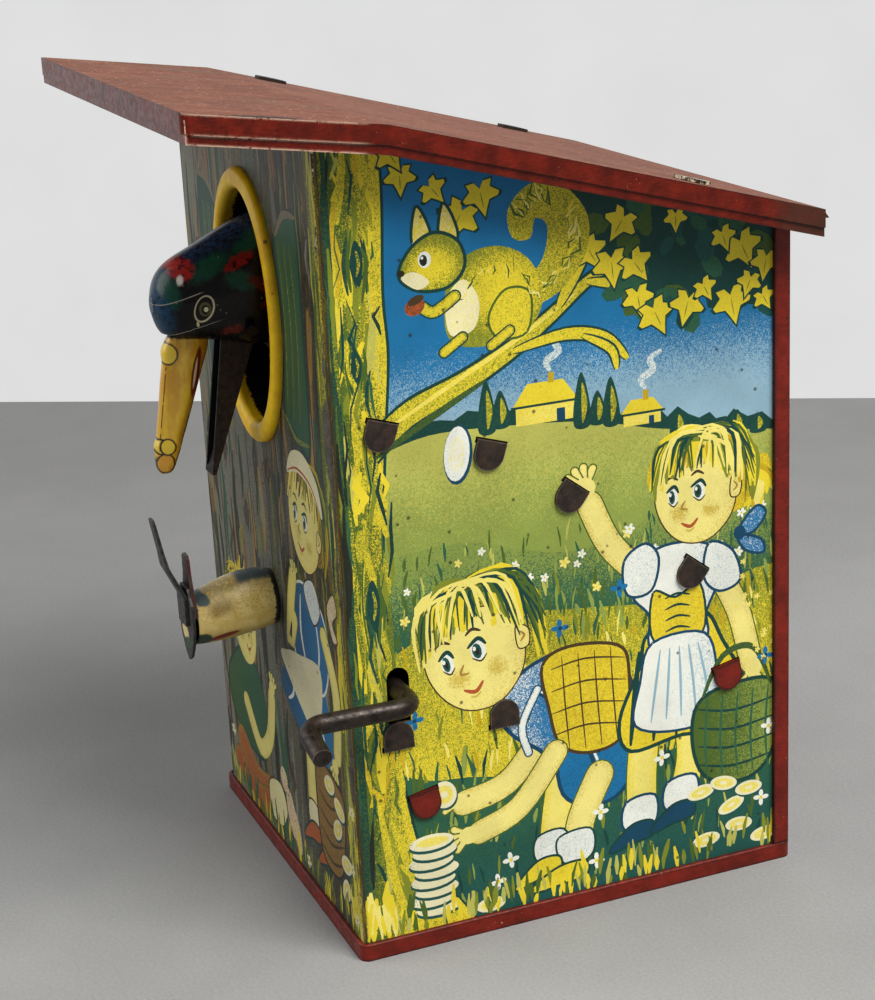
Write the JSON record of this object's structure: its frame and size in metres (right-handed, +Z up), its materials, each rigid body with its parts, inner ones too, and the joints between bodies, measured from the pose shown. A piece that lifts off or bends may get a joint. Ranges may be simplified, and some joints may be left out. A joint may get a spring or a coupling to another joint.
{
  "type": "mechanical coin bank",
  "caption": "Tinplate nesting-house coin bank: a lever swings a bird that takes the coin from a holder and drops it inside.",
  "frame": {"origin": "centre of the house's floor on the surface that it stands on", "axes": "+Z up; -Y out of the front with the oval hole; +X to the side with the lever"},
  "size_m": [0.0995, 0.1058, 0.143],
  "materials": {
    "printed_tin": "gloss",
    "red_paint": "gloss",
    "yellow_paint": "gloss",
    "black_paint": "gloss",
    "cream_paint": "gloss",
    "dark_tin": "satin",
    "bare_tin": "satin",
    "dark_wire": "satin",
    "spring_steel": "satin",
    "lock_metal": "satin"
  },
  "bodies": {
    "house": {"house_shell": "printed_tin", "rear_wall": "red_paint", "base_pan": "red_paint", "roof": "red_paint", "entrance_ring": "yellow_paint", "coin_chute": "dark_tin", "partition": "red_paint", "bearing_plate": "dark_tin", "axle_bracket": "bare_tin", "bird_axle": "dark_wire", "axle_cap_left": "bare_tin", "axle_cap_right": "bare_tin", "bracket_rivets": "bare_tin", "return_spring": "spring_steel", "holder_body": "cream_paint", "holder_washer": "bare_tin", "holder_face": "dark_tin", "holder_prong_rear": "dark_tin", "holder_prong_front": "dark_tin", "hinge_pin": "bare_tin"},
    "bird": {"bird_head_right": "black_paint", "bird_head_left": "black_paint", "bird_arm": "bare_tin", "arm_bush": "bare_tin", "neck_rivets": "bare_tin", "upper_beak": "yellow_paint", "beak_rivet": "bare_tin", "jaw_pin": "bare_tin"},
    "lower_jaw": {"lower_beak": "dark_tin"},
    "lever": {"crank_lever": "dark_wire"},
    "door": {"coin_door": "red_paint", "lock_barrel": "lock_metal"},
    "lock": {"lock_plug": "lock_metal", "lock_cam": "bare_tin"}
  },
  "joints": [
    {"name": "bird_swing", "type": "hinge", "parent": "house", "child": "bird", "pos_m": [0, -0.00816, 0.04544], "axis": [1, 0, 0], "range_deg": [-44.8, 6.4], "stiffness_Nm_per_rad": 0.025, "springref_deg": -10.71, "deforming": ["return_spring"]},
    {"name": "lever_press", "type": "hinge", "parent": "house", "child": "lever", "pos_m": [0, -0.02416, 0.04544], "axis": [1, 0, 0], "range_deg": [-4, 28]},
    {"name": "jaw_swing", "type": "hinge", "parent": "bird", "child": "lower_jaw", "pos_m": [0, -0.0425, 0.102], "axis": [1, 0, 0], "range_deg": [-11, 0]},
    {"name": "door_swing", "type": "hinge", "parent": "house", "child": "door", "pos_m": [-0.0194, 0.0418, 0.016], "axis": [0, 0, 1], "range_deg": [0, 110]},
    {"name": "lock_turn", "type": "hinge", "parent": "door", "child": "lock", "pos_m": [0.0105, 0.04, 0.016], "axis": [0, 1, 0], "range_deg": [0, 90]}
  ],
  "couplings": [
    {"joint": "lever_press", "follows": "bird_swing", "ratio": -0.625}
  ]
}
